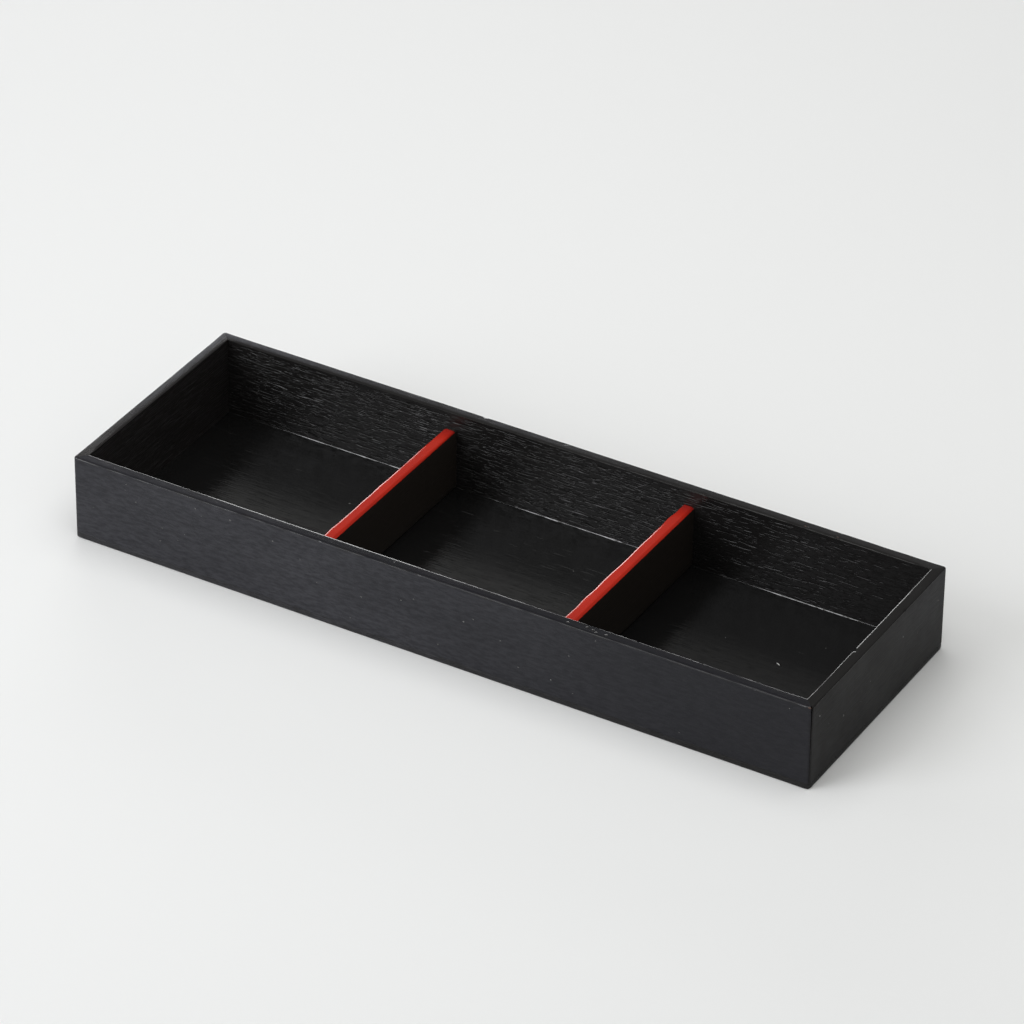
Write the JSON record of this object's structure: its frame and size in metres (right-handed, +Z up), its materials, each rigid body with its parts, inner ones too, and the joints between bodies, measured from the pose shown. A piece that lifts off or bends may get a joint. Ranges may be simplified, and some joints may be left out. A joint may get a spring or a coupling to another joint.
{
  "type": "tea ceremony box",
  "caption": "Long shallow open box of black-lacquered open-grain wood, with mitred walls, a flush bottom board and low red-edged cross dividers between equal square compartments.",
  "frame": {"origin": "centre of the underside, on the surface that the box stands on", "axes": "+X along the box's length towards its right wall, +Y from the front wall to the back wall, +Z up"},
  "size_m": [0.36, 0.12, 0.041],
  "materials": {
    "black_lacquered_wood": "satin black wiped lacquer over open-grained hardwood, with the pores showing",
    "red_edged_black_wood": "satin black wiped lacquer, with the top edge painted in vermilion lacquer",
    "spline_wood": "bare planed hardwood, hidden in the mitre",
    "peg_wood": "bare split bamboo, its lower end cut flush and lacquered over"
  },
  "bodies": {
    "root": {"front_wall": "black_lacquered_wood", "right_wall": "black_lacquered_wood", "back_wall": "black_lacquered_wood", "left_wall": "black_lacquered_wood", "bottom_board": "black_lacquered_wood", "left_divider": "red_edged_black_wood", "right_divider": "red_edged_black_wood", "front_left_spline": "spline_wood", "front_right_spline": "spline_wood", "back_left_spline": "spline_wood", "back_right_spline": "spline_wood", "front_peg_1": "peg_wood", "front_peg_2": "peg_wood", "front_peg_3": "peg_wood", "front_peg_4": "peg_wood", "front_peg_5": "peg_wood", "front_peg_6": "peg_wood", "back_peg_1": "peg_wood", "back_peg_2": "peg_wood", "back_peg_3": "peg_wood", "back_peg_4": "peg_wood", "back_peg_5": "peg_wood", "back_peg_6": "peg_wood", "left_peg_1": "peg_wood", "left_peg_2": "peg_wood", "right_peg_1": "peg_wood", "right_peg_2": "peg_wood"}
  },
  "joints": []
}
